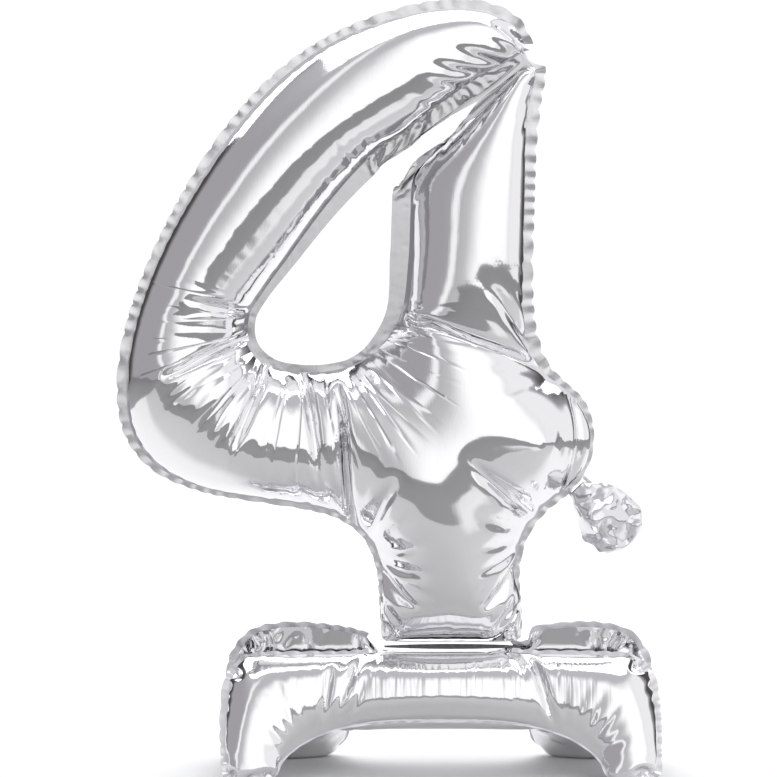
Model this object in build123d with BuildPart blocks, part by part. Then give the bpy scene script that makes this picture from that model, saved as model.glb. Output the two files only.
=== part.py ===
"""Standing foil number balloon: an air-filled figure 4 on a stem with a two-legged base.

Millimetres. +Z is up, the front faces -Y, and X runs to the right. The origin is on the
floor, midway across the overall width and depth. The weld plane of the number is Y = 0.
"""

from build123d import *
from math import atan2, cos, degrees, hypot, radians, sin, tan
import os

# Film and welds
wall = 0.8  # stand-in thickness of the film, which is 0.03 mm in reality
seam_width = 8.0  # width of the flat weld around each chamber
seam_thickness = 0.6

# Number: radii of its tubes across the front, and the depth as a share of the width
flatness = 0.78
loop_radius = 61.0  # the slanted stroke and the crossbar
upright_radius = 59.0  # the upright and the stem below it
arm_radius = 48.0
tip_radius = 36.0
apex_radius = 7.0

# Number: centre lines in the XZ plane
loop_start = (10.0, 657.0)
loop_points = [loop_start, (-62.0, 624.0), (-150.0, 517.0), (-197.0, 420.0), (-190.0, 312.0), (60.0, 320.0)]
loop_bends = [150.0, 300.0, 140.0, 71.0]
tip_length = 92.0
# The flares from the crossbar into the stem: upper and lower ball centres, then their radii
flare_lines = [
    ((-22.0, 304.0), (30.0, 205.0), 44.0, 40.0),
    ((126.0, 306.0), (86.0, 212.0), 38.0, 40.0),
]
upright_x = 62.0
upright_foot = (61.0, 110.0)
upright_shoulder = (67.0, 528.0)
upright_apex = (134.0, 655.0)
arm_centre = (142.0, 322.0)

# Slot between the two strokes at the top
slot_middle = (70.0, 619.0)
slot_angle = 40.0
slot_shape = [(-93.0, -24.0), (86.0, -8.0), (86.0, 8.0), (-93.0, 24.0)]  # along and across it

# Counter: a box around the hole of the 4, used to part its weld from the outer weld
counter_box_centre = (-58.0, 478.0)
counter_box_size = (156.0, 210.0)

# Waist: the line where the stem is pinched and both legs hang
waist_z = 118.0
waist_half_width = 66.0
waist_strip_height = 8.4
stem_pinch_angle = 40.0  # half angle of the stem's lower end, seen from the side
hinge_clear = 4.8  # the legs keep this far from the hinge line

# Base
base_x = 50.0
foot_half_spacing = {"front": 176.0, "rear": 152.0}
leg_radius = {"front": 29.0, "rear": 38.0}
leg_top_y = {"front": -36.0, "rear": 46.0}
leg_top_z = {"front": 81.0, "rear": 95.0}
leg_tilt = {"front": -29.0, "rear": 18.0}
leg_bend = {"front": 60.0, "rear": 62.0}
toe_length = {"front": 0.0, "rear": 24.0}  # how far each foot reaches inwards
toe_radius_share = 0.86  # radius of the toe, as a share of its leg's radius
toe_height_share = 0.78  # height of its middle, as a share of the same
toe_set_back = 0.93  # distance of its middle from the waist plane, as a share of the foot's
web_share = 0.9  # how wide the leg's upper web is at the tube, as a share of its diameter

# Filling neck and valve, measured from the centre of the arm's round end
neck_angle = -50.0
neck_hinge_reach = arm_radius + seam_width + 1.5
neck_start = neck_hinge_reach + 1.5
neck_length = 62.0
neck_root_width = 22.0
neck_end_width = 40.0
neck_corner = 12.0
neck_seam = 3.0
ply_thickness = 0.5
valve_width = 20.0
valve_length = 64.0
valve_ply = 0.4
valve_gap = 0.1

big = 1000.0

os.makedirs("parts", exist_ok=True)


def tapered_capsule(start, end, start_radius, end_radius):
    """The round solid around two balls of different size, on a line in the XZ plane."""
    along = hypot(end[0] - start[0], end[1] - start[1])
    angle = degrees(atan2(end[1] - start[1], end[0] - start[0]))
    lean = (start_radius - end_radius) / along
    rise = (1 - lean**2) ** 0.5
    axis = Plane(
        origin=(start[0], 0, start[1]),
        x_dir=(cos(radians(angle)), 0, sin(radians(angle))),
        z_dir=(0, -1, 0),
    )
    with BuildPart() as capsule:
        with BuildSketch(axis):
            with BuildLine():
                first = (lean * start_radius, rise * start_radius)
                second = (along + lean * end_radius, rise * end_radius)
                Line((-start_radius, 0), (along + end_radius, 0))
                RadiusArc((-start_radius, 0), first, start_radius)
                Line(first, second)
                RadiusArc(second, (along + end_radius, 0), end_radius)
            make_face()
        revolve(axis=Axis((start[0], 0, start[1]), axis.x_dir))
    return capsule.part


def slanted_tip(inset):
    """The tapering upper end of the slanted stroke, on the same axis as the stroke's end."""
    run = (loop_start[0] - loop_points[1][0], loop_start[1] - loop_points[1][1])
    axis = Plane(origin=(loop_start[0], 0, loop_start[1]), x_dir=(run[0], 0, run[1]), z_dir=(0, -1, 0))
    wide = loop_radius - inset
    narrow = tip_radius - inset
    with BuildPart() as tip:
        with BuildSketch(axis):
            with BuildLine():
                Line((0, 0), (0, wide))
                Line((0, wide), (tip_length, narrow))
                RadiusArc((tip_length, narrow), (tip_length + narrow, 0), narrow)
                Line((tip_length + narrow, 0), (0, 0))
            make_face()
        revolve(axis=Axis((loop_start[0], 0, loop_start[1]), axis.x_dir))
    return tip.part


def number_body(inset):
    """The number and its stem as one solid, drawn in by inset all round."""
    pinch = tan(radians(stem_pinch_angle)) / flatness
    low = waist_z + waist_strip_height / 2 + inset
    half_edge = seam_thickness
    tip = slanted_tip(inset)
    wide = upright_radius - inset
    upright = tapered_capsule(upright_foot, upright_shoulder, wide, wide)
    shoulder = tapered_capsule(upright_shoulder, upright_apex, wide - 1, apex_radius - inset)
    flares = [
        tapered_capsule(high, low_end, high_radius - inset, low_radius - inset)
        for high, low_end, high_radius, low_radius in flare_lines
    ]
    with BuildPart() as body:
        with BuildLine(Plane.XZ) as path:
            FilletPolyline(*loop_points, radius=loop_bends)
        with BuildSketch(Plane(origin=path.line @ 0, z_dir=path.line % 0)):
            Circle(loop_radius - inset)
        sweep(path=path.line)
        add(tip)
        add(shoulder)
        for flare in flares:
            add(flare)
        add(upright)
        with BuildSketch(Plane.YZ.offset(upright_x)):
            with Locations((0, arm_centre[1])):
                Circle(arm_radius - inset)
        extrude(amount=arm_centre[0] - upright_x)
        with Locations((arm_centre[0], 0, arm_centre[1])):
            Sphere(arm_radius - inset)
        with BuildSketch(Plane.YZ):
            with BuildLine():
                Polyline(
                    (-half_edge, low),
                    (half_edge, low),
                    (half_edge + pinch * big, low + big),
                    (-half_edge - pinch * big, low + big),
                    close=True,
                )
            make_face()
        extrude(amount=big, both=True, mode=Mode.INTERSECT)
    return body.part


def leg_plane(side):
    """The plane of a leg's arch: local X is +X, local Y runs up the tilted leg."""
    tilt = radians(leg_tilt[side])
    return Plane(
        origin=(base_x, leg_top_y[side], leg_top_z[side]),
        x_dir=(1, 0, 0),
        z_dir=(0, -cos(tilt), -sin(tilt)),
    )


def foot_y(side):
    return leg_top_y[side] - leg_top_z[side] * tan(radians(-leg_tilt[side]))


def leg_seam_plane(side):
    """The plane of a leg's weld, from the waist line to the middle of its feet."""
    lean = atan2(foot_y(side), waist_z)
    return Plane(origin=(base_x, 0, waist_z), x_dir=(1, 0, 0), z_dir=(0, -cos(lean), -sin(lean)))


def leg_body(side, inset):
    """One leg as a solid: an arched tube on two feet, with a web up to the waist line."""
    radius = leg_radius[side] - inset
    centre = (leg_top_y[side], leg_top_z[side])
    reach = hypot(centre[0], waist_z - centre[1])
    across = (-(waist_z - centre[1]) / reach, -centre[0] / reach)
    half = web_share * leg_radius[side] - inset
    drop = leg_top_z[side] / cos(radians(leg_tilt[side])) + leg_radius[side]
    spacing = foot_half_spacing[side]
    arch = [(-spacing, -drop), (-spacing, 0), (spacing, 0), (spacing, -drop)]
    with BuildPart() as leg:
        with BuildLine(leg_plane(side)) as path:
            FilletPolyline(*arch, radius=leg_bend[side])
        with BuildSketch(Plane(origin=path.line @ 0, z_dir=path.line % 0)):
            Circle(radius)
        sweep(path=path.line)
        with BuildSketch(Plane.YZ.offset(base_x)):
            with BuildLine():
                Polyline(
                    (0, waist_z - 2 * inset),
                    (centre[0] + half * across[0], centre[1] + half * across[1]),
                    (centre[0] - half * across[0], centre[1] - half * across[1]),
                    close=True,
                )
            make_face()
        extrude(amount=waist_half_width - inset, both=True)
        if toe_length[side]:
            for hand in (-1, 1):
                inner = base_x + hand * (spacing - toe_length[side])
                toe_y = foot_y(side) * toe_set_back
                toe_z = radius * toe_height_share
                with BuildSketch(Plane.YZ.offset(inner)):
                    with Locations((toe_y, toe_z)):
                        Circle(radius * toe_radius_share)
                extrude(amount=hand * toe_length[side])
                with Locations((inner, toe_y, toe_z)):
                    Sphere(radius * toe_radius_share)
        with BuildSketch(Plane.XY.offset(inset)):
            Rectangle(big, big)
        extrude(amount=-big, mode=Mode.SUBTRACT)
        with BuildSketch(Plane.YZ):
            with Locations((0, waist_z)):
                Circle(hinge_clear + max(inset, 0))
        extrude(amount=big, both=True, mode=Mode.SUBTRACT)
    return leg.part


def film(outer, inner, seam_plane, keep):
    """The film on one side of a weld plane: the chamber's wall, cut along that plane."""
    with BuildPart() as skin:
        add(outer)
        add(inner, mode=Mode.SUBTRACT)
        split(bisect_by=seam_plane, keep=keep)
    return skin.part


def save(part, name):
    part.label = name
    export_step(part, f"parts/{name}.step")


# ---- Number: front film and back film ----
number_outer = number_body(0)
number_inner = number_body(wall)
for name, keep in (("number_front_film", Keep.TOP), ("number_back_film", Keep.BOTTOM)):
    half = film(number_outer, number_inner, Plane.XZ, keep)
    save(scale(half, by=(1, flatness, 1)), name)

# ---- Number: the flat welds around it, around the counter and in the slot ----
outline = section(number_outer, section_by=Plane.XZ)

slot_plane = Plane(
    origin=(slot_middle[0], 0, slot_middle[1]),
    x_dir=(cos(radians(slot_angle)), 0, sin(radians(slot_angle))),
    z_dir=(0, -1, 0),
)
slot_patch = Sketch() + make_face(Polyline(*slot_shape, close=True).edges()).moved(slot_plane.location)
with BuildSketch(Plane.XZ) as filled_outline:
    add(outline)
    add(slot_patch)

with BuildPart() as counter_block:
    with BuildSketch(Plane.XZ):
        with Locations(counter_box_centre):
            Rectangle(*counter_box_size)
    extrude(amount=seam_thickness / 2, both=True)

welded_outline = section(number_body(-seam_width), section_by=Plane.XZ)
with BuildPart() as weld_ring:
    with BuildSketch(Plane.XZ):
        add(welded_outline)
        add(filled_outline.sketch, mode=Mode.SUBTRACT)
    extrude(amount=seam_thickness / 2, both=True)
    with BuildSketch(Plane.XY.offset(waist_z + waist_strip_height / 2)):
        Rectangle(big, big)
    extrude(amount=-big, mode=Mode.SUBTRACT)

with BuildPart() as counter_edge_seal:
    add(weld_ring.part)
    add(counter_block.part, mode=Mode.INTERSECT)
save(counter_edge_seal.part, "counter_edge_seal")

with BuildPart() as number_edge_seal:
    add(weld_ring.part)
    add(counter_block.part, mode=Mode.SUBTRACT)
save(number_edge_seal.part, "number_edge_seal")

with BuildPart() as slot_web:
    with BuildSketch(Plane.XZ):
        add(slot_patch)
    extrude(amount=seam_thickness / 2, both=True)
    with BuildSketch(Plane.XZ):
        add(outline)
    extrude(amount=seam_thickness, both=True, mode=Mode.SUBTRACT)
save(slot_web.part, "slot_web")

# ---- Waist: the welded strip that the stem and both legs share ----
with BuildPart() as waist_weld:
    with BuildSketch(Plane.XZ):
        with Locations((upright_x, waist_z)):
            Rectangle(2 * waist_half_width, waist_strip_height)
    extrude(amount=seam_thickness / 2, both=True)
save(waist_weld.part, "waist_weld")

# ---- Legs: an outer film, a gusset film and a weld for each ----
for side, outer_keep, inner_keep in (
    ("front", Keep.TOP, Keep.BOTTOM),
    ("rear", Keep.BOTTOM, Keep.TOP),
):
    leg_outer = leg_body(side, 0)
    leg_inner = leg_body(side, wall)
    seam_plane = leg_seam_plane(side)
    save(film(leg_outer, leg_inner, seam_plane, outer_keep), f"{side}_leg_outer_film")
    save(film(leg_outer, leg_inner, seam_plane, inner_keep), f"{side}_leg_gusset_film")
    leg_outline = seam_plane.to_local_coords(section(leg_outer, section_by=seam_plane))
    leg_welded = seam_plane.to_local_coords(section(leg_body(side, -seam_width), section_by=seam_plane))
    with BuildPart() as leg_seal:
        with BuildSketch(seam_plane):
            add(leg_welded)
            add(leg_outline, mode=Mode.SUBTRACT)
        extrude(amount=seam_thickness / 2, both=True)
        add(leg_outer, mode=Mode.SUBTRACT)
        with BuildSketch(Plane.XY.offset(seam_thickness)):
            Rectangle(big, big)
        extrude(amount=-big, mode=Mode.SUBTRACT)
        with BuildSketch(Plane.YZ):
            with Locations((0, waist_z)):
                Circle(hinge_clear)
        extrude(amount=big, both=True, mode=Mode.SUBTRACT)
        with BuildSketch(Plane.XY.offset(waist_z)):
            Rectangle(big, big)
        extrude(amount=big, mode=Mode.SUBTRACT)
    save(leg_seal.part, f"{side}_leg_edge_seal")

# ---- Filling neck: a flat two-ply tail, and the valve plies inside the arm ----
neck_plane = Plane(
    origin=(arm_centre[0], 0, arm_centre[1]),
    x_dir=(cos(radians(neck_angle)), 0, sin(radians(neck_angle))),
    z_dir=(0, -1, 0),
)
neck_end = neck_start + neck_length

with BuildSketch() as neck_outline:
    with BuildLine():
        Polyline(
            (neck_start, -neck_root_width / 2),
            (neck_end, -neck_end_width / 2),
            (neck_end, neck_end_width / 2),
            (neck_start, neck_root_width / 2),
            close=True,
        )
    make_face()
    fillet(neck_outline.vertices().group_by(Axis.X)[-1], neck_corner)

for name, direction in (("filling_neck_front_film", 1), ("filling_neck_back_film", -1)):
    with BuildPart() as neck_film:
        with BuildSketch(neck_plane.offset(direction * seam_thickness / 2)):
            add(neck_outline.sketch)
        extrude(amount=direction * ply_thickness)
    save(neck_film.part, name)

with BuildPart() as neck_seal:
    with BuildSketch(neck_plane):
        add(neck_outline.sketch)
        offset(amount=-neck_seam, kind=Kind.INTERSECTION, mode=Mode.SUBTRACT)
    extrude(amount=seam_thickness / 2, both=True)
    with BuildSketch(neck_plane):
        with Locations((neck_start, 0)):
            Rectangle(3 * neck_seam, neck_root_width - 2 * neck_seam)
    extrude(amount=seam_thickness, both=True, mode=Mode.SUBTRACT)
save(neck_seal.part, "filling_neck_edge_seal")

for name, direction in (("valve_front_ply", 1), ("valve_back_ply", -1)):
    with BuildPart() as ply:
        with BuildSketch(neck_plane.offset(direction * valve_gap)):
            with Locations((arm_radius - 4 * wall - valve_length / 2, 0)):
                Rectangle(valve_length, valve_width)
        extrude(amount=direction * valve_ply)
    save(ply.part, name)
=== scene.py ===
"""Standing foil number balloon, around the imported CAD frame.

The film is simulated: each chamber starts as two flat sheets welded along a line, in the shape
they are cut to, and is inflated while its weld line draws in to where it stands. Nearly everywhere
the film stretches by less than a tenth, so it wrinkles where it has too much length, as foil does.
The finest creases are then evened out, which stretches its triangles further.
Metres, +Z up, the front faces -Y.
"""

import math

import bpy
import numpy as np
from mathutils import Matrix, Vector, noise
from mathutils.geometry import delaunay_2d_cdt
from mathutils.kdtree import KDTree


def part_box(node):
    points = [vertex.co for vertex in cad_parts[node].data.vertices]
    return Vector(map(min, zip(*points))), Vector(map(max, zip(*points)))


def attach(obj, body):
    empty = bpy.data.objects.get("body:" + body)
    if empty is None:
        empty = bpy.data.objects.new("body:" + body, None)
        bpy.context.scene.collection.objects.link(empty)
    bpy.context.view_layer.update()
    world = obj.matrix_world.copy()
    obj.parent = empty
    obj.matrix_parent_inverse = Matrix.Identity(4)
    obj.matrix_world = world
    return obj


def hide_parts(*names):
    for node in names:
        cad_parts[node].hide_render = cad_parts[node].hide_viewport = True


MM = 0.001
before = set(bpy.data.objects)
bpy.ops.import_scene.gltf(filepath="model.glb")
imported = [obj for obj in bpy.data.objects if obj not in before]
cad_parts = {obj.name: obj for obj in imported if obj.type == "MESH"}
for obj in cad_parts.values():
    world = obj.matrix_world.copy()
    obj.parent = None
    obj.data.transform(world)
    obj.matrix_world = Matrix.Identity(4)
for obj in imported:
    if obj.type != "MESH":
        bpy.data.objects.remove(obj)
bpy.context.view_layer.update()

# ---- Inflating the film ----
NUMBER_CELL = 3.6 * MM  # spacing of the points of its film
NUMBER_STEPS = 900
NUMBER_PUSH = 0.008 * MM  # gas pressure: how far it moves a point in one step
NUMBER_STIFF = 0.12  # how much the film resists a fold, from 0 to 1
LEG_CELL = 3.2 * MM
LEG_STEPS = 700
LEG_PUSH = 0.006 * MM
LEG_STIFF = 0.2
RAMP = 0.5  # the share of the steps in which the weld lines draw in
DAMPING = 0.975  # the share of its speed that a point keeps in one step
FLANGE_PULL = 0.02  # how strongly a flange is held flat
WELD_FLOAT = 0.85  # the share of its way out of the flat that a weld point keeps in one step
START_APART = 1.0 * MM  # how far each sheet starts from the flat
START_JITTER = 0.25 * MM  # spread of the random places a flange's and a weld's points start at
NUMBER_RELAX, LEG_RELAX = 3, 4  # rounds of evening out at the end

# ---- Places read from the frame ----
waist_low, waist_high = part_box("waist_weld")
WAIST = (waist_low + waist_high) / 2
WAIST_HALF = (waist_high.x - waist_low.x) / 2
WAIST_STRIP = (waist_high.z - waist_low.z) / 2
front_low, front_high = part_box("front_leg_edge_seal")
FRONT_FOOT_Y = front_low.y
REAR_FOOT_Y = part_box("rear_leg_edge_seal")[1].y
BASE_X = (front_low.x + front_high.x) / 2

# ---- Sizes the chambers share ----
SEAM = 8.0 * MM  # width of a weld
RIM_STEP = 1.5 * MM  # spacing of a rim's points along it
RIM_COLUMNS = 7  # points across a rim
SCALLOP = 17.0 * MM  # length of one scallop of a rim
SCALLOP_HEIGHT = 1.0 * MM  # how far its edge waves, where the rim is as wide as FULL_RIM
FULL_RIM = 9.0 * MM
OVER_FLOOR = 0.2 * MM  # how far above the floor a rim stays


# ---- Curves ----
def spline_loop(rows, spacing):
    """Points along a closed Catmull-Rom curve through rows. Every column is carried along."""
    rows = np.array(rows, float)
    out = []
    count = len(rows)
    for i in range(count):
        a, b, c, d = rows[i - 1], rows[i], rows[(i + 1) % count], rows[(i + 2) % count]
        n = max(1, int(round(np.linalg.norm((c - b)[:2]) / spacing)))
        t = (np.arange(n) / n)[:, None]
        square = 2 * a - 5 * b + 4 * c - d
        cube = 3 * b - a - 3 * c + d
        out.append(0.5 * (2 * b + (c - a) * t + square * t**2 + cube * t**3))
    return np.vstack(out)


def outward(loop):
    """Unit normals of a closed loop of points, away from its inside."""
    along = np.roll(loop, -1, 0) - np.roll(loop, 1, 0)
    along /= np.linalg.norm(along, axis=1)[:, None] + 1e-12
    area = 0.5 * np.sum(loop[:, 0] * np.roll(loop[:, 1], -1) - np.roll(loop[:, 0], -1) * loop[:, 1])
    side = 1.0 if area > 0 else -1.0
    return np.stack([along[:, 1], -along[:, 0]], 1) * side


def inside(points, loop):
    """Which points lie inside a closed loop."""
    hit = np.zeros(len(points), bool)
    px, py = points[:, 0], points[:, 1]
    for (x1, y1), (x2, y2) in zip(loop, np.roll(loop, -1, 0)):
        if y1 == y2:
            continue
        cross = (py < y1) != (py < y2)
        hit ^= cross & (px < (x2 - x1) * (py - y1) / (y2 - y1) + x1)
    return hit


def steps_along(line):
    """The length of the curve around each point of a line, evened out over a few points."""
    step = np.linalg.norm(np.gradient(line, axis=0), axis=1)
    reach = 4
    window = 2 * reach + 1
    padded = np.pad(step, reach, mode="edge")
    return np.convolve(padded, np.ones(window) / window, "valid")


# ---- Film ----
ROW_SHARE = 0.866  # the rows of a grid of even triangles are this share of its spacing apart
GRID_JITTER = 0.22  # how far a grid point may be moved, in spacings
GRID_CLEAR = 0.62  # how far a grid point stays from the points of a loop, in spacings


def triangulate(boundary_loops, domain, spacing, seed):
    """A triangle mesh of a flat region: the given loops are kept, the rest is a jittered grid.
    domain(points) says which points are in the region."""
    rng = np.random.default_rng(seed)
    fixed = np.vstack(boundary_loops)
    edges, start = [], 0
    for loop in boundary_loops:
        n = len(loop)
        edges += [(start + i, start + (i + 1) % n) for i in range(n)]
        start += n
    low, high = fixed.min(0), fixed.max(0)
    rows = np.arange(low[1], high[1], spacing * ROW_SHARE)
    grid = []
    for k, y in enumerate(rows):
        xs = np.arange(low[0] + (k % 2) * spacing / 2, high[0], spacing)
        grid.append(np.stack([xs, np.full_like(xs, y)], 1))
    grid = np.vstack(grid)
    grid += rng.uniform(-GRID_JITTER, GRID_JITTER, grid.shape) * spacing
    grid = grid[domain(grid)]
    # keep clear of the loops
    cell = {}
    for i, p in enumerate(np.floor(fixed / spacing).astype(int)):
        cell.setdefault((p[0], p[1]), []).append(i)
    nearest = (GRID_CLEAR * spacing) ** 2
    keep = np.ones(len(grid), bool)
    for i, (p, c) in enumerate(zip(grid, np.floor(grid / spacing).astype(int))):
        for dx in (-1, 0, 1):
            for dy in (-1, 0, 1):
                for j in cell.get((c[0] + dx, c[1] + dy), ()):
                    if (fixed[j, 0] - p[0]) ** 2 + (fixed[j, 1] - p[1]) ** 2 < nearest:
                        keep[i] = False
    points = np.vstack([fixed, grid[keep]])
    result = delaunay_2d_cdt([Vector(p) for p in points], edges, [], 0, 1e-7)
    verts = np.array([tuple(v) for v in result[0]])
    tris = np.array([f for f in result[2] if len(f) == 3])
    tris = tris[domain(verts[tris].mean(1))]
    return verts, tris


def matchings(edges, count):
    """Edges sorted into groups in which no point occurs twice."""
    left = np.arange(len(edges))
    groups = []
    while len(left):
        group = []
        free = np.ones(count, bool)
        rest = left
        for _ in range(4):
            e = edges[rest]
            ok = free[e[:, 0]] & free[e[:, 1]]
            rest = rest[ok]
            if not len(rest):
                break
            e = edges[rest]
            first = np.full(count, len(edges))
            np.minimum.at(first, e[:, 0], rest)
            np.minimum.at(first, e[:, 1], rest)
            take = (first[e[:, 0]] == rest) & (first[e[:, 1]] == rest)
            group.append(rest[take])
            free[e[take].ravel()] = False
        group = np.concatenate(group)
        groups.append(group)
        left = np.setdiff1d(left, group, assume_unique=True)
    return groups


def edges_of(tris):
    pairs = np.sort(np.vstack([tris[:, [0, 1]], tris[:, [1, 2]], tris[:, [2, 0]]]), 1)
    return np.unique(pairs, axis=0)


def opposite_pairs(tris):
    """For each inner edge, the two points that face each other across it."""
    pairs = np.vstack([tris[:, [0, 1]], tris[:, [1, 2]], tris[:, [2, 0]]])
    facing = np.concatenate([tris[:, 2], tris[:, 0], tris[:, 1]])
    pairs = np.sort(pairs, 1)
    order = np.lexsort((pairs[:, 1], pairs[:, 0]))
    pairs, facing = pairs[order], facing[order]
    same = np.all(pairs[1:] == pairs[:-1], axis=1)
    return np.stack([facing[:-1][same], facing[1:][same]], 1)


class Film:
    """A welded chamber of film, as points that are held near the distances they are cut at."""

    def __init__(self, flat, tris, chamber, weld, place):
        """flat is the points as cut, in 2D, and chamber says which triangles are two sheets. weld is
        the numbers of the points on the weld line. place(points) puts the flat sheet in space."""
        self.flat = flat
        used = np.zeros(len(flat), bool)
        used[np.unique(tris[chamber])] = True
        used[weld] = False
        twin = np.arange(len(flat))
        twin[used] = len(flat) + np.arange(used.sum())
        self.front = tris[chamber]
        self.back = twin[tris[chamber]][:, ::-1]
        self.flange = tris[~chamber]
        self.count = len(flat) + used.sum()
        self.flat_all = np.vstack([flat, flat[used]])
        self.start = place(self.flat_all)
        self.side = np.zeros(self.count)
        self.side[: len(flat)][used] = -1
        self.side[len(flat) :] = 1
        self.weld = weld
        tri_all = np.vstack([self.front, self.back, self.flange])
        self.edges = edges_of(tri_all)
        self.length = self.cut_lengths(self.edges)
        self.bends = np.vstack([opposite_pairs(part) for part in (self.front, self.back, self.flange)])
        self.bend_length = self.cut_lengths(self.bends)

    def cut_lengths(self, pairs):
        """How far apart the points of each pair are cut."""
        return np.linalg.norm(self.flat_all[pairs[:, 0]] - self.flat_all[pairs[:, 1]], axis=1)

    def gather(self, line, factor, profile, only=None):
        """Makes the film longer along a line by factor, one value for each of its points. The effect
        follows profile, a list of distances from the line and one of shares, on the points in only."""
        tree = KDTree(len(line))
        for i, p in enumerate(line):
            tree.insert((p[0], p[1], 0), i)
        tree.balance()
        found = [tree.find((p[0], p[1], 0)) for p in self.flat_all]
        near = np.array([f[1] for f in found])
        share = np.interp([f[2] for f in found], *profile)
        if only is not None:
            share[~only] = 0
        along = np.gradient(line, axis=0)
        along /= np.linalg.norm(along, axis=1)[:, None] + 1e-12
        size = 1 + (factor[near] - 1) * share
        least = 0.3
        for pairs, length in ((self.edges, self.length), (self.bends, self.bend_length)):
            a, b = pairs[:, 0], pairs[:, 1]
            step = self.flat_all[b] - self.flat_all[a]
            part = np.einsum("ij,ij->i", step, along[near[a]])
            grown = ((size[a] + size[b]) / 2) ** 2 - 1
            length[:] = np.sqrt(np.maximum(length**2 + grown * part**2, (least * length) ** 2))

    def inflate(self, aim, normal, cell, steps, push, stiff, limits, seed=1):
        """Blows the chamber up while its weld line moves from the flat cut to aim."""
        x = self.start.copy()
        rng = np.random.default_rng(seed)
        normal = np.array(normal, float)
        normal = np.broadcast_to(normal, x.shape)
        x += normal * (self.side * START_APART)[:, None]
        loose = self.side == 0
        x[loose] += normal[loose] * rng.normal(0, START_JITTER, loose.sum())[:, None]
        before = x.copy()
        groups = []
        for g in matchings(self.edges, self.count):
            e = self.edges[g]
            groups.append((e[:, 0].copy(), e[:, 1].copy(), self.length[g].copy()))
        bend_groups = []
        for g in matchings(self.bends, self.count):
            e = self.bends[g]
            bend_groups.append((e[:, 0].copy(), e[:, 1].copy(), self.bend_length[g].copy()))
        shell = np.vstack([self.front, self.back])
        corner = [shell[:, 0], shell[:, 1], shell[:, 2]]
        point_area = cell * cell
        weld_from = x[self.weld].copy()
        flange_points = np.setdiff1d(np.unique(self.flange), self.weld)
        push_dir = np.zeros_like(x)
        for step in range(steps):
            t = min(1.0, step / (steps * RAMP))
            t = t * t * (3 - 2 * t)
            if step % 2 == 0:
                a = x[corner[0]]
                n = np.cross(x[corner[1]] - a, x[corner[2]] - a)
                for axis in range(3):
                    total = np.bincount(corner[0], n[:, axis], self.count)
                    total += np.bincount(corner[1], n[:, axis], self.count)
                    total += np.bincount(corner[2], n[:, axis], self.count)
                    push_dir[:, axis] = total / (6 * point_area)
            move = (x - before) * DAMPING
            before = x.copy()
            x = x + move + push * push_dir
            for a, b, length in groups:
                d = x[b] - x[a]
                now = np.sqrt(np.einsum("ij,ij->i", d, d)) + 1e-12
                d *= (0.5 - 0.5 * length / now)[:, None]
                x[a] += d
                x[b] -= d
            if step % 2:
                for a, b, length in bend_groups:
                    d = x[b] - x[a]
                    now = np.sqrt(np.einsum("ij,ij->i", d, d)) + 1e-12
                    share = (1 - length / now) * (0.5 * stiff)
                    d *= np.minimum(share, 0)[:, None]
                    x[a] += d
                    x[b] -= d
            goal = weld_from + (aim - weld_from) * t
            off = x[self.weld] - goal
            across = np.einsum("ij,ij->i", off, normal[self.weld])
            x[self.weld] = goal + normal[self.weld] * (WELD_FLOAT * across)[:, None]
            off = x[flange_points] - self.start[flange_points]
            off = np.einsum("ij,ij->i", off, normal[flange_points])
            x[flange_points] -= normal[flange_points] * (off * FLANGE_PULL)[:, None]
            limits(x)
        self.points = x

    def relax(self, rounds):
        """Evens out the finest creases, keeping the weld line and the flange. Every second pass swells
        the film back, or it would shrink."""
        weight, swell = 0.5, 1.03
        edges = edges_of(np.vstack([self.front, self.back]))
        degree = np.bincount(edges.ravel(), minlength=self.count).astype(float)
        free = self.side != 0
        x = self.points
        for k in range(rounds * 2):
            total = np.zeros_like(x)
            for axis in range(3):
                total[:, axis] = np.bincount(edges[:, 0], x[edges[:, 1], axis], self.count)
                total[:, axis] += np.bincount(edges[:, 1], x[edges[:, 0], axis], self.count)
            mean = total / np.maximum(degree, 1)[:, None]
            pull = weight if k % 2 == 0 else -weight * swell
            x[free] += (mean[free] - x[free]) * pull
        self.points = x


def piece(name, points, tris, levels=1):
    """A smooth mesh object of these triangles, with its unused points left out."""
    used, inverse = np.unique(tris, return_inverse=True)
    mesh = bpy.data.meshes.new(name)
    mesh.from_pydata(points[used].tolist(), [], inverse.reshape(tris.shape).tolist())
    mesh.update()
    obj = bpy.data.objects.new(name, mesh)
    bpy.context.scene.collection.objects.link(obj)
    for polygon in mesh.polygons:
        polygon.use_smooth = True
    if levels:
        smooth = obj.modifiers.new("Subdivision", "SUBSURF")
        smooth.levels = smooth.render_levels = levels
        smooth.boundary_smooth = "PRESERVE_CORNERS"
    return obj


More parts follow.
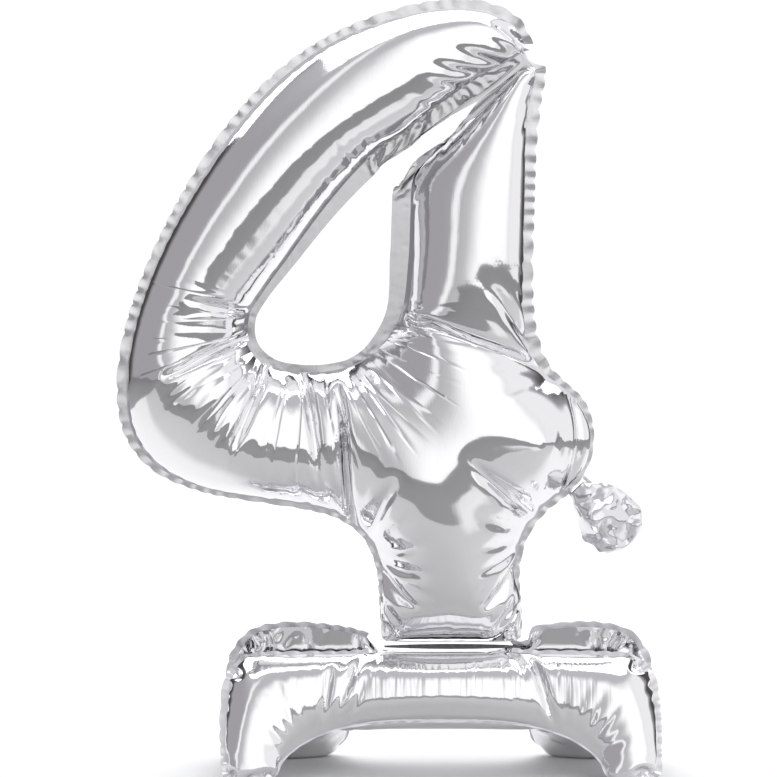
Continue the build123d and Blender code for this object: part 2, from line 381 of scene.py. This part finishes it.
# ---- The number: its weld line as it stands, and how far outside it the film is cut ----
# Each row is X, Z and the extra width of film beyond that point, in millimetres.
NUMBER_WELD = [
    (130, 697, 14), (117, 717, 18), (84, 730, 26), (40, 729, 34), (-10, 717, 38), (-60, 695, 40),
    (-108, 659, 42), (-152, 609, 44), (-191, 551, 44), (-222, 490, 44), (-243, 430, 44), (-252, 376, 44),
    (-247, 328, 44), (-224, 294, 42), (-182, 273, 40), (-130, 263, 36), (-84, 256, 30), (-48, 246, 24),
    (-22, 226, 18), (-8, 196, 18), (-4, 162, 20), (-3, 142, 20), (-2, 126, 10), (12, 123.5, 2),
    (60, 123.5, 0), (110, 123.5, 2), (123, 126, 10), (124, 142, 20), (123, 164, 20), (122, 194, 18),
    (130, 226, 16), (148, 252, 16), (172, 272, 22), (189, 298, 28), (192, 328, 28), (184, 352, 22),
    (168, 368, 18), (148, 384, 18), (134, 408, 26), (128, 440, 36), (126, 490, 42), (127, 550, 40),
    (130, 600, 30), (136, 645, 14), (141, 672, 4), (131, 673, 0), (100, 647, 0), (64, 614, 0),
    (34, 585, 0), (23, 566, 0), (21, 534, 0), (19, 490, 0), (12, 440, 0), (-10, 406, 0),
    (-37, 389, 0), (-74, 383, 0), (-111, 389, 0), (-132, 409, 0), (-134, 436, 0), (-120, 461, 0),
    (-96, 494, 0), (-69, 531, 0), (-43, 563, 0), (-15, 592, 0), (14, 613, 0), (52, 642, 0),
    (90, 668, 0), (120, 684, 4),
]

# How much longer the film is along the weld line: rows of the table, and shares beside them.
OUTER_GATHER = ([0, 7, 9, 17, 20, 44], [0.0, 0.0, 0.02, 0.03, 0.02, 0.02])
INNER_GATHER = ([50, 52, 54, 58, 59.5], [0, 0.01, 0.025, 0.025, 0])
WEB_GATHER = ([44, 45, 48, 49, 62.5, 63.5, 67, 68], [0, 0.07, 0.07, 0, 0, 0.07, 0.07, 0])
# How far that reaches: distances from the weld line, and the share of it there.
OUTER_REACH = (np.array([0, 50, 140]) * MM, [1, 0.9, 0])
INNER_REACH = (np.array([0, 6, 25, 70, 100]) * MM, [0.3, 0.6, 1, 0.8, 0])
WEB_REACH = (np.array([0, 4, 40]) * MM, [0, 1, 1])
# Rows of the table, and the widths of the weld beside them.
RIM_WIDTH = (
    [0, 12, 14, 18, 20, 21.5, 22.5, 25.5, 26.5, 31, 33, 36, 38, 44],
    np.array([9, 9, 5, 4, 6, 5, 1, 1, 5, 6, 5, 6, 14, 11]) * MM,
)
COUNTER_SEAM = ([49, 51, 54, 59, 63], np.array([18, 18, 7, 7, 16]) * MM)
COUNTER_FIRST, COUNTER_LAST = 49, 63  # the rows beside the counter, from its top and back to it
OUTER_LAST = 44  # the last row on the outside; row 0 is the first
OVER_WAIST = 1.5 * MM  # how far above the waist line the film stays


def upright_place(points):
    """2D points of the number, in the plane it stands in."""
    return np.stack([points[:, 0], 0 * points[:, 0], points[:, 1]], 1)


def number_film():
    """The inflated number, its outer weld line as it stands, the way out of it and its rim's width."""
    rows = np.array(NUMBER_WELD, float) * MM
    marks = np.arange(len(rows), dtype=float)[:, None]
    dense = spline_loop(np.hstack([rows, marks]), NUMBER_CELL * 0.9)
    aim2, spare, mark = dense[:, :2], dense[:, 2], dense[:, 3]
    weld = aim2 + outward(aim2) * np.maximum(spare, 0)[:, None]
    outer = (mark >= -0.01) & (mark <= OUTER_LAST + 0.3)
    inner = ~outer
    beside = (mark >= COUNTER_FIRST) & (mark <= COUNTER_LAST)
    hole = weld[beside] + outward(weld)[beside] * np.interp(mark[beside], *COUNTER_SEAM)[:, None]
    skin = weld[outer]

    def domain(points):
        return inside(points, skin) & ~inside(points, hole)

    verts, tris = triangulate([weld, hole], domain, NUMBER_CELL, seed=3)
    chamber = inside(verts[tris].mean(1), weld)
    film = Film(verts, tris, chamber, np.arange(len(weld)), upright_place)

    drawn_in = steps_along(aim2[outer]) / steps_along(skin)
    fuller = 1 + np.interp(mark[outer], *OUTER_GATHER)
    film.gather(skin, drawn_in * fuller, OUTER_REACH)
    fuller = 1 + np.interp(mark[inner], *INNER_GATHER)
    film.gather(weld[inner], fuller, INNER_REACH, film.side != 0)
    fuller = 1 + np.interp(mark[inner], *WEB_GATHER)
    film.gather(weld[inner], fuller, WEB_REACH, film.side == 0)

    def limits(x):
        x[:, 2] = np.maximum(x[:, 2], WAIST.z + OVER_WAIST)

    aim = upright_place(aim2)
    film.inflate(aim, (0, 1, 0), NUMBER_CELL, NUMBER_STEPS, NUMBER_PUSH, NUMBER_STIFF, limits)
    film.relax(NUMBER_RELAX)
    out = upright_place(outward(aim2))
    film.line = film.points[film.weld][outer]
    film.out = out[outer]
    film.width = np.interp(mark[outer], *RIM_WIDTH)
    film.normal = np.array([0, 1.0, 0])
    return film


def scalloped_rim(name, film):
    """The flat weld outside a chamber, which the drawn-in film buckles into scallops."""
    run = np.concatenate([[0], np.cumsum(np.linalg.norm(np.diff(film.line, axis=0), axis=1))])
    s = np.arange(0, run[-1], RIM_STEP)
    line = np.stack([np.interp(s, run, film.line[:, k]) for k in range(3)], 1)
    out = np.stack([np.interp(s, run, film.out[:, k]) for k in range(3)], 1)
    out /= np.linalg.norm(out, axis=1)[:, None] + 1e-12
    width = np.interp(s, run, film.width)
    # slow waves of unrelated lengths keep the scallops from repeating
    phase = 2 * np.pi * s / SCALLOP + 2.6 * np.sin(s / 0.037) + 1.9 * np.sin(s / 0.0173 + 1)
    uneven = 0.55 + 0.25 * np.sin(s / 0.029 + 2) + 0.2 * np.sin(s / 0.0113)
    height = SCALLOP_HEIGHT * uneven * np.minimum(width / FULL_RIM, 1)
    lobe = 0.72 + 0.28 * np.abs(np.sin(phase / 2)) ** 0.6 + 0.08 * np.sin(s / 0.041)
    columns = RIM_COLUMNS
    points = []
    for k in range(columns):
        share = k / (columns - 1)
        wave = np.sin(phase) * height * share**0.8
        points.append(line + out * (width * lobe * share)[:, None] + film.normal * wave[:, None])
    points = np.stack(points, 1).reshape(-1, 3)
    points[:, 2] = np.maximum(points[:, 2], OVER_FLOOR)
    faces = []
    for i in range(len(s) - 1):
        for k in range(columns - 1):
            a = i * columns + k
            faces.append((a, a + 1, a + columns + 1, a + columns))
    return piece(name, points, np.array(faces))


# ---- The legs: weld lines in each leg's own plane ----
# Each row is the distance right of the middle, the height above the waist line along the leg,
# and the extra width of film beyond that point, in millimetres. The left half mirrors it.
FRONT_LEG_WELD = [
    (0, -6, 13), (50, -6, 13), (66, -8, 14), (95, -11, 16), (145, -12, 18), (182, -15, 18),
    (200, -34, 18), (204, -70, 18), (203, -108, 16), (199, -135, 12), (178, -143, 10), (159, -137, 8),
    (149, -118, 5), (128, -100, 5), (98, -87, 8), (55, -80, 15), (0, -79, 16),
]
REAR_LEG_WELD = [
    (0, -6, 8), (50, -6, 8), (62, -2, 8), (74, 8, 9), (104, 14, 11), (148, 16, 13),
    (182, 8, 17), (198, -18, 18), (201, -60, 20), (197, -104, 16), (186, -132, 12), (150, -139, 10),
    (112, -135, 10), (94, -121, 5), (88, -102, 4), (72, -88, 5), (42, -80, 12), (0, -78, 15),
]
ARCH_GATHER = 0.03  # share of extra film along the edge of the arch between the feet
ARCH_REACH = (np.array([0, 25, 60, 80]) * MM, [0, 1, 0.8, 0])  # as for the number
ARCH_HALF, ARCH_LOW = 140 * MM, -120 * MM  # where the arch's edge ends: half width and height
ARCH_RIM, ARCH_RIM_HALF = 2 * MM, 165 * MM  # its rim is narrow, this far to each side
LEG_RIM = SEAM * 0.9
WAIST_GAP, WAIST_DROP = 68 * MM, -30 * MM  # there is no rim nearer the middle and higher than this
SWING_IN = math.tan(math.radians(6.5))  # each leg swings 6 degrees in
MID_GAP = 1.0 * MM  # how far a leg stays from the plane between the legs
STEM_SLOPE = 0.55  # rise over run of the stem's lower end, seen from the side


def leg_film(half_rows, foot_y, seed):
    """One inflated leg, in the plane from the waist line to its feet."""
    right = np.array(half_rows, float)
    left = right[-2:0:-1] * (-1, 1, 1)
    rows = np.vstack([right, left]) * MM
    dense = spline_loop(rows, LEG_CELL * 0.9)
    aim2, spare = dense[:, :2], dense[:, 2]
    out2 = outward(aim2)
    weld = aim2 + out2 * np.maximum(spare, 0)[:, None]
    slant = math.hypot(foot_y, WAIST.z)
    down = np.array([0, foot_y / slant, -WAIST.z / slant])
    across = np.array([1.0, 0, 0])

    def place(points):
        return np.array([BASE_X, 0, WAIST.z]) + points[:, :1] * across - points[:, 1:2] * down

    def domain(points):
        return inside(points, weld)

    verts, tris = triangulate([weld], domain, LEG_CELL, seed)
    film = Film(verts, tris, np.ones(len(tris), bool), np.arange(len(weld)), place)
    arch = (out2[:, 1] < 0) & (np.abs(aim2[:, 0]) < ARCH_HALF) & (aim2[:, 1] > ARCH_LOW)
    order = np.argsort(weld[arch][:, 0])
    film.gather(weld[arch][order], np.full(arch.sum(), 1 + ARCH_GATHER), ARCH_REACH)
    sign = 1.0 if foot_y > 0 else -1.0

    def limits(x):
        x[:, 2] = np.maximum(x[:, 2], 0.0)
        # leave room for the leg to swing in towards the other one
        below = np.maximum(WAIST.z - x[:, 2], 0)
        near = np.minimum(0.0, sign * x[:, 1] - MID_GAP - SWING_IN * below)
        x[:, 1] -= sign * near
        # stay below the slope of the stem's lower end
        beside = (x[:, 0] > WAIST.x - WAIST_HALF - SEAM) & (x[:, 0] < WAIST.x + WAIST_HALF + SEAM)
        high = beside & (x[:, 2] - WAIST.z > STEM_SLOPE * sign * x[:, 1])
        x[high, 2] = WAIST.z + STEM_SLOPE * sign * x[high, 1]

    normal = np.array([0, -down[2], down[1]])
    film.inflate(place(aim2), normal, LEG_CELL, LEG_STEPS, LEG_PUSH, LEG_STIFF, limits, seed)
    film.relax(LEG_RELAX)
    rim = (np.abs(aim2[:, 0]) > WAIST_GAP) | (aim2[:, 1] < WAIST_DROP)
    film.line = film.points[film.weld][rim]
    film.out = (out2[:, :1] * across - out2[:, 1:2] * down)[rim]
    inward = (out2[:, 1] < 0) & (np.abs(aim2[:, 0]) < ARCH_RIM_HALF)
    film.width = np.where(inward, ARCH_RIM, LEG_RIM)[rim]
    film.normal = normal
    return film


# ---- The waist: the seam between the stem and the legs ----
def waist_strip():
    """The pressed seam at the waist, pulled thinner towards its ends."""
    columns, rows = 120, 6
    end_share, middle_more = 0.22, 0.38
    points, faces = [], []
    for i in range(columns + 1):
        u = 2 * i / columns - 1
        half = WAIST_STRIP * (end_share + middle_more * (1 - u * u))
        for j in range(rows + 1):
            v = 2 * j / rows - 1
            buckle = 0.35 * MM * noise.noise((u * 14, v * 0.6, 3))
            points.append((WAIST.x + WAIST_HALF * u, buckle, WAIST.z + half * v))
    for i in range(columns):
        for j in range(rows):
            a = i * (rows + 1) + j
            faces.append((a, a + rows + 1, a + rows + 2, a + 1))
    return piece("foil_waist", np.array(points), np.array(faces), 0)


# ---- The filling neck: two plies, crumpled. Lengths in metres, along and across the neck ----
NECK_ROOT, NECK_TIP = 0.016, 0.007  # its ends, this far on from those of the flat film
NECK_HALF, NECK_BULGE = 0.009, 0.021  # half its width at the root, and how much more it gets
NECK_ROUND = 0.62  # the share of its length where it begins to round off
NECK_GAP = 0.0003  # how far each ply stays from the middle
BOW, FINE_BOW = 0.006, 0.0035  # how far both plies bend aside together
PUFF, BIG_FOLD, SMALL_FOLD = 0.0030, 0.0115, 0.0036  # how far each ply stands out


def crumpled_neck():
    """The filling neck as a crumpled pillow of film: the points of its two plies, and their faces."""
    low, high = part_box("filling_neck_front_film")
    root = Vector((low.x, 0, high.z))
    tip = Vector((high.x, 0, low.z))
    along = (tip - root).normalized()
    across = Vector((-along.z, 0, along.x))
    start, end = root + along * NECK_ROOT, tip + along * NECK_TIP
    rows, columns = 60, 44
    grids = {-1: [], 1: []}
    for i in range(rows + 1):
        t = i / rows
        half = NECK_HALF + NECK_BULGE * math.sin(min(1, t * 1.7) * math.pi / 2)
        if t > NECK_ROUND:
            late = (t - NECK_ROUND) / 0.38
            half *= 0.08 + 0.92 * math.sqrt(max(0.0, 1 - late**2.2))
        for j in range(columns + 1):
            u = 2 * j / columns - 1
            ragged = 1 + 0.16 * noise.noise((t * 6, u * 0.5, 2))
            flat = start + (end - start) * t + across * (half * u * ragged)
            open_share = (1 - u**4) * min(1, (1 - t) * 9) ** 0.5 * min(1, 0.4 + t * 2)
            bow = BOW * noise.noise(flat * 42) * t
            bow += FINE_BOW * noise.noise(flat * 95 + Vector((5, 0, 2))) * t
            for side in (-1, 1):
                big = fold(flat * 27 + Vector((0, side * 0.9, 0)))
                small = fold(flat * 60 + Vector((3, side * 1.7, 1)))
                puff = (PUFF + BIG_FOLD * big + SMALL_FOLD * small) * open_share
                grids[side].append(flat + Vector((0, bow + side * (NECK_GAP + puff), 0)))
    faces = []
    for i in range(rows):
        for j in range(columns):
            a = i * (columns + 1) + j
            faces.append((a, a + 1, a + columns + 2, a + columns + 1))
    return grids, np.array(faces)


def fold(spot):
    """Noise with sharp valleys, from 0 to about 1."""
    return abs(noise.noise(spot)) * 1.9


# ---- Materials ----
STREAKS = (700, 700, 9)  # cells of noise per metre along X, Y and Z: fine lines up the film
RIPPLES = (38, 38, 38)
FAN_CENTRE = (-0.078, 0.436)  # the middle of the counter, which the pleats of the bend fan out from
FAN_RING = (0.078, 0.150)  # how far from there they start and end, in metres
FAN_TURN = (-1.9, 1.5)  # how far round they reach, in radians from straight down
FAN_DEPTH = -0.8
ARCH_PLEATS_HALF = 0.15
ARCH_PLEATS_HEIGHT = (0.052, 0.112)
NOISE_MIDDLE = 0.5


class Nodes:
    """Short ways to write arithmetic in a node tree."""

    def __init__(self, tree):
        self.tree = tree

    def math(self, operation, *values):
        """A math node. Each value is a number or a socket."""
        node = self.tree.nodes.new("ShaderNodeMath")
        node.operation = operation
        for socket, value in zip(node.inputs, values):
            if isinstance(value, (int, float)):
                socket.default_value = value
            else:
                self.tree.links.new(value, socket)
        return node.outputs[0]

    def fade(self, value, start, end):
        """0 at start, 1 at end, smooth between."""
        node = self.tree.nodes.new("ShaderNodeMapRange")
        node.interpolation_type = "SMOOTHSTEP"
        node.inputs["From Min"].default_value = start
        node.inputs["From Max"].default_value = end
        self.tree.links.new(value, node.inputs["Value"])
        return node.outputs["Result"]

    def band(self, value, low, high, soft_low, soft_high):
        """1 between low and high, with soft ends."""
        rise = self.fade(value, low - soft_low, low + soft_low)
        fall = self.fade(value, high + soft_high, high - soft_high)
        return self.math("MULTIPLY", rise, fall)

    def mix(self, share, a, b):
        """Color a where share is 0 and b where it is 1. Each is three numbers or a socket."""
        node = self.tree.nodes.new("ShaderNodeMix")
        node.data_type = "RGBA"
        self.tree.links.new(share, node.inputs["Factor"])
        for socket, value in (("A", a), ("B", b)):
            if isinstance(value, tuple):
                node.inputs[socket].default_value = (*value, 1)
            else:
                self.tree.links.new(value, node.inputs[socket])
        return node.outputs["Result"]

    def split(self, vector):
        node = self.tree.nodes.new("ShaderNodeSeparateXYZ")
        self.tree.links.new(vector, node.inputs["Vector"])
        return node.outputs["X"], node.outputs["Y"], node.outputs["Z"]

    def vector(self, *values):
        node = self.tree.nodes.new("ShaderNodeCombineXYZ")
        for socket, value in zip(node.inputs, values):
            if isinstance(value, (int, float)):
                socket.default_value = value
            else:
                self.tree.links.new(value, socket)
        return node.outputs["Vector"]

    def noise(self, vector, scale, detail):
        """Noise with scale cells per unit along each axis."""
        stretch = self.tree.nodes.new("ShaderNodeMapping")
        stretch.inputs["Scale"].default_value = scale
        self.tree.links.new(vector, stretch.inputs["Vector"])
        node = self.tree.nodes.new("ShaderNodeTexNoise")
        node.inputs["Scale"].default_value = 1.0
        node.inputs["Detail"].default_value = detail
        self.tree.links.new(stretch.outputs["Vector"], node.inputs["Vector"])
        return node.outputs["Fac"]

    def bump(self, height, strength, distance, normal=None):
        node = self.tree.nodes.new("ShaderNodeBump")
        node.inputs["Strength"].default_value = strength
        node.inputs["Distance"].default_value = distance
        self.tree.links.new(height, node.inputs["Height"])
        if normal:
            self.tree.links.new(normal, node.inputs["Normal"])
        return node.outputs["Normal"]


def new_material(name):
    material = bpy.data.materials.new(name)
    material.use_nodes = True
    return material, material.node_tree.nodes, material.node_tree.links


def film_material(name, color, roughness, grain, wrinkle, pleats=None, pleat_height=1.0 * MM):
    """Metallised film: mirror bright, with a fine drawn grain, a faint waviness and, if asked for,
    fine pleats. pleats(make, place) gives their height."""
    material, nodes, links = new_material(name)
    make = Nodes(material.node_tree)
    shader = nodes["Principled BSDF"]
    shader.inputs["Metallic"].default_value = 1.0
    place = nodes.new("ShaderNodeTexCoord").outputs["Object"]
    streaks = make.noise(place, STREAKS, 3)
    ripples = make.noise(place, RIPPLES, 2)
    dark = tuple(c * 0.95 for c in color)
    links.new(make.mix(streaks, dark, color), shader.inputs["Base Color"])
    rough = make.math("MULTIPLY_ADD", streaks, roughness * 0.6, roughness * 0.7)
    links.new(rough, shader.inputs["Roughness"])
    normal = make.bump(streaks, grain, 0.2 * MM)
    normal = make.bump(ripples, wrinkle, 4 * MM, normal)
    if pleats:
        normal = make.bump(pleats(make, place), 1.0, pleat_height, normal)
    links.new(normal, shader.inputs["Normal"])
    return material


def arch_pleats(make, place):
    """Fine pleats across the top of a leg's arch."""
    x, _, z = make.split(place)
    fine = make.noise(place, (105, 9, 9), 1.5)
    ridge = make.math("ABSOLUTE", make.math("SUBTRACT", fine, NOISE_MIDDLE))
    centre = make.band(x, BASE_X - ARCH_PLEATS_HALF, BASE_X + ARCH_PLEATS_HALF, 0.03, 0.03)
    tube = make.band(z, *ARCH_PLEATS_HEIGHT, 0.012, 0.006)
    return make.math("MULTIPLY", make.math("MULTIPLY", centre, tube), ridge)


def bend_pleats(make, place):
    """Pleats that fan out from the middle of the counter, around its lower side."""
    x, _, z = make.split(place)
    right = make.math("SUBTRACT", x, FAN_CENTRE[0])
    up = make.math("SUBTRACT", z, FAN_CENTRE[1])
    square = make.math("ADD", make.math("MULTIPLY", right, right), make.math("MULTIPLY", up, up))
    away = make.math("SQRT", square)
    # the angle is 0 straight down, so it jumps from pi to -pi straight up, where the fan has no pleats
    turn = make.math("ARCTAN2", right, make.math("MULTIPLY", up, -1.0))
    spokes = make.vector(make.math("MULTIPLY", turn, 2.8), make.math("MULTIPLY", away, 3.0), 0.0)
    fine = make.noise(spokes, (1.9, 1, 1), 1.0)
    ridge = make.math("ABSOLUTE", make.math("SUBTRACT", fine, NOISE_MIDDLE))
    # a pleat is only a thin line, where the noise crosses its middle
    thin = make.math("MINIMUM", make.math("MULTIPLY", ridge, 22.0), 1.0)
    sharp = make.math("SUBTRACT", 1.0, thin)
    ring = make.band(away, *FAN_RING, 0.008, 0.022)
    fan = make.band(turn, *FAN_TURN, 0.3, 0.3)
    depth = make.math("MULTIPLY", sharp, FAN_DEPTH)
    return make.math("MULTIPLY", make.math("MULTIPLY", ring, fan), depth)


def floor_material():
    """White paper under the object, darker towards the front with painted shade, and a white card to its
    front right, on a pale grey floor.
    """
    material, nodes, links = new_material("floor_paper")
    make = Nodes(material.node_tree)
    shader = nodes["Principled BSDF"]
    shader.inputs["Roughness"].default_value = 0.6
    place = nodes.new("ShaderNodeTexCoord").outputs["Object"]
    x, y, _ = make.split(place)
    speckle = make.noise(place, (30, 30, 30), 2)
    # The nearer paper is painted darker than the farther: painted shade, so that the foil reflects a
    # greyer floor in front.
    near = make.mix(speckle, (0.60, 0.60, 0.602), (0.63, 0.63, 0.632))
    far = make.mix(speckle, (0.85, 0.85, 0.852), (0.88, 0.88, 0.882))
    paper = make.mix(make.fade(y, *PAPER_SHADE_FADES), near, far)
    wide = make.band(x, -PAPER_HALF, PAPER_HALF, PAPER_EDGE, PAPER_EDGE)
    on_paper = make.math("MULTIPLY", wide, make.fade(y, PAPER_FRONT, PAPER_FRONT + PAPER_EDGE))
    card_wide = make.band(x, *CARD_SIDES, CARD_EDGE, CARD_EDGE)
    card_deep = make.band(y, *CARD_DEPTH, CARD_EDGE, CARD_EDGE)
    card = make.math("MULTIPLY", card_wide, card_deep)
    ground = make.mix(on_paper, (0.30, 0.295, 0.30), paper)
    links.new(make.mix(card, ground, (0.92, 0.92, 0.922)), shader.inputs["Base Color"])
    return material


# ---- Stage, in metres ----
FLOOR_HALF, FLOOR_BACK = 6.0, 3.2
PAPER_FRONT, PAPER_HALF = -0.62, 1.6
PAPER_SHADE_FADES = (-0.16, -0.02)  # from here to here the painted shade on the front of the paper fades out into its own white
PAPER_EDGE = 0.002
CARD_SIDES = (0.42, 0.85)
CARD_DEPTH = (-1.1, PAPER_FRONT + 0.12)
CARD_EDGE = 0.1  # how softly it ends
FRAME_HEIGHT = 0.747  # what the camera sees at the object, up and across
CAMERA_AIM = (0, 0, 0.3675)
CAMERA_DISTANCE = 3.0
CAMERA_ELEVATION = math.radians(3.2)
SENSOR = 36.0  # millimetres


def area_light(name, place, target, size, power):
    data = bpy.data.lights.new(name, "AREA")
    data.shape = "RECTANGLE"
    data.size, data.size_y = size
    data.energy = power
    lamp = bpy.data.objects.new(name, data)
    lamp.location = place
    lamp.rotation_euler = (Vector(target) - Vector(place)).to_track_quat("-Z", "Y").to_euler()
    bpy.context.scene.collection.objects.link(lamp)


STUDIO_BASE = (0.41, 0.4, 0.42)
# Each patch of the studio around, over the ones before it: its azimuth from the front towards +X
# and its elevation, in degrees, each as low, high, softness at low, softness at high; then its light.
STUDIO = [
    ((-200, 200, 1, 1), (52, 200, 14, 1), (0.58, 0.58, 0.6)),
    ((-200, 200, 1, 1), (-200, -5, 1, 3), (0.23, 0.215, 0.215)),
    ((118, 162, 10, 4), (-90, 50, 1, 10), (0.09, 0.082, 0.08)),
    ((-164, -124, 4, 10), (-90, 50, 1, 10), (0.08, 0.072, 0.07)),
    ((166, 200, 4, 1), (-200, 60, 1, 12), (1.05, 1.05, 1.06)),
    ((-200, -166, 1, 4), (-200, 60, 1, 12), (1.05, 1.05, 1.06)),
    ((-36, 62, 26, 12), (-10, 56, 3, 8), (0.66, 0.66, 0.67)),
    ((-12, 62, 14, 12), (-16, 56, 3, 8), (1.2, 1.2, 1.2)),
    ((58, 108, 12, 4), (-22, 56, 3, 8), (1.0, 1.0, 1.01)),
    ((-48, -38, 4, 3), (-4, 66, 2, 8), (1.05, 1.05, 1.05)),
]


def studio_world():
    world = bpy.data.worlds.new("studio")
    bpy.context.scene.world = world
    world.use_nodes = True
    tree = world.node_tree
    make = Nodes(tree)
    x, y, z = make.split(tree.nodes.new("ShaderNodeTexCoord").outputs["Generated"])
    azimuth = make.math("DEGREES", make.math("ARCTAN2", x, make.math("MULTIPLY", y, -1.0)))
    elevation = make.math("DEGREES", make.math("ARCSINE", z))
    color = STUDIO_BASE
    for around, up, light in STUDIO:
        share = make.math("MULTIPLY", make.band(azimuth, *around), make.band(elevation, *up))
        color = make.mix(share, color, light)
    tree.links.new(color, tree.nodes["Background"].inputs["Color"])


def stage():
    mesh = bpy.data.meshes.new("floor")
    front = [(-FLOOR_HALF, -FLOOR_HALF, 0), (FLOOR_HALF, -FLOOR_HALF, 0)]
    back = [(FLOOR_HALF, FLOOR_BACK, 0), (-FLOOR_HALF, FLOOR_BACK, 0)]
    mesh.from_pydata(front + back, [], [(0, 1, 2, 3)])
    floor = bpy.data.objects.new("floor", mesh)
    bpy.context.scene.collection.objects.link(floor)
    mesh.materials.append(floor_material())
    area_light("softbox_top", (0, 0.3, 2.4), (0, 0.1, 0), (2.2, 1.6), 16)
    area_light("floor_wash", (0, 2.2, 2.2), (0, 1.9, 0), (4.5, 2.6), 80)
    studio_world()
    bpy.context.scene.view_settings.view_transform = "Standard"


def camera():
    data = bpy.data.cameras.new("camera")
    data.sensor_width = SENSOR
    data.lens = SENSOR * CAMERA_DISTANCE / FRAME_HEIGHT
    data.clip_end = 100
    view = bpy.data.objects.new("camera", data)
    aim = Vector(CAMERA_AIM)
    towards = Vector((0, -math.cos(CAMERA_ELEVATION), math.sin(CAMERA_ELEVATION)))
    view.location = aim + towards * CAMERA_DISTANCE
    view.rotation_euler = (aim - view.location).to_track_quat("-Z", "Y").to_euler()
    bpy.context.scene.collection.objects.link(view)
    bpy.context.scene.camera = view


def put(obj, body, slot, material, *nodes):
    """Gives a piece its material, the body it rides, and the CAD nodes it stands in for. Its slot is not
    used.
    """
    obj.data.materials.append(material)
    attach(obj, body)
    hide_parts(*nodes)


stage()
camera()
FILM_COLOR = (0.86, 0.86, 0.875)
mirror = film_material("mirror_film", FILM_COLOR, 0.07, 0.12, 0.02, bend_pleats)
leg_mirror = film_material("leg_film", FILM_COLOR, 0.07, 0.12, 0.02, arch_pleats, 2.0 * MM)
# The waist strip is painted near black: painted shade of the deep crease between the stem and the legs,
# not the seam's own colour.
waist_shade_film = film_material("waist_painted_shade", (0.12, 0.12, 0.125), 0.25, 0.2, 0.2)
crinkle = film_material("crinkled_film", (0.80, 0.80, 0.82), 0.14, 0.2, 0.35)
welded = film_material("welded_film", (0.60, 0.60, 0.615), 0.24, 0.2, 0.1)
rim = film_material("rim_film", (0.78, 0.78, 0.80), 0.32, 0.2, 0.35)

number = number_film()
front = piece("foil_number_front", number.points, number.front)
put(front, "number", "mirror_film", mirror, "number_front_film")
back = piece("foil_number_back", number.points, number.back)
put(back, "number", "mirror_film", mirror, "number_back_film")
web = piece("foil_number_web", number.points, number.flange)
put(web, "number", "welded_seam", welded, "counter_edge_seal", "slot_web")
edge = scalloped_rim("foil_number_rim", number)
put(edge, "number", "welded_seam", rim, "number_edge_seal")

for side, rows, foot_y in (("front", FRONT_LEG_WELD, FRONT_FOOT_Y), ("rear", REAR_LEG_WELD, REAR_FOOT_Y)):
    leg = leg_film(rows, foot_y, 7)
    body = f"{side}_leg"
    sheets = (leg.front, leg.back) if side == "front" else (leg.back, leg.front)
    for sheet, faces in zip(("outer", "gusset"), sheets):
        film = piece(f"foil_{body}_{sheet}", leg.points, faces)
        put(film, body, "mirror_film", leg_mirror, f"{body}_{sheet}_film")
    edge = scalloped_rim(f"foil_{body}_rim", leg)
    put(edge, body, "welded_seam", rim, f"{body}_edge_seal")

grids, neck_faces = crumpled_neck()
for side, ply, faces in ((-1, "front", neck_faces), (1, "back", neck_faces[:, ::-1])):
    points = np.array([tuple(p) for p in grids[side]])
    film = piece(f"foil_neck_{ply}", points, faces)
    put(film, "filling_neck", "mirror_film", crinkle, f"filling_neck_{ply}_film")

# the waist strip takes the near-black painted shade of the crease
put(waist_strip(), "number", "welded_seam", waist_shade_film, "waist_weld")

# the neck's weld and the valve keep the shapes of the CAD
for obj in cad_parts.values():
    if not obj.hide_render:
        obj.data.materials.clear()
        obj.data.materials.append(crinkle)

bpy.context.view_layer.update()
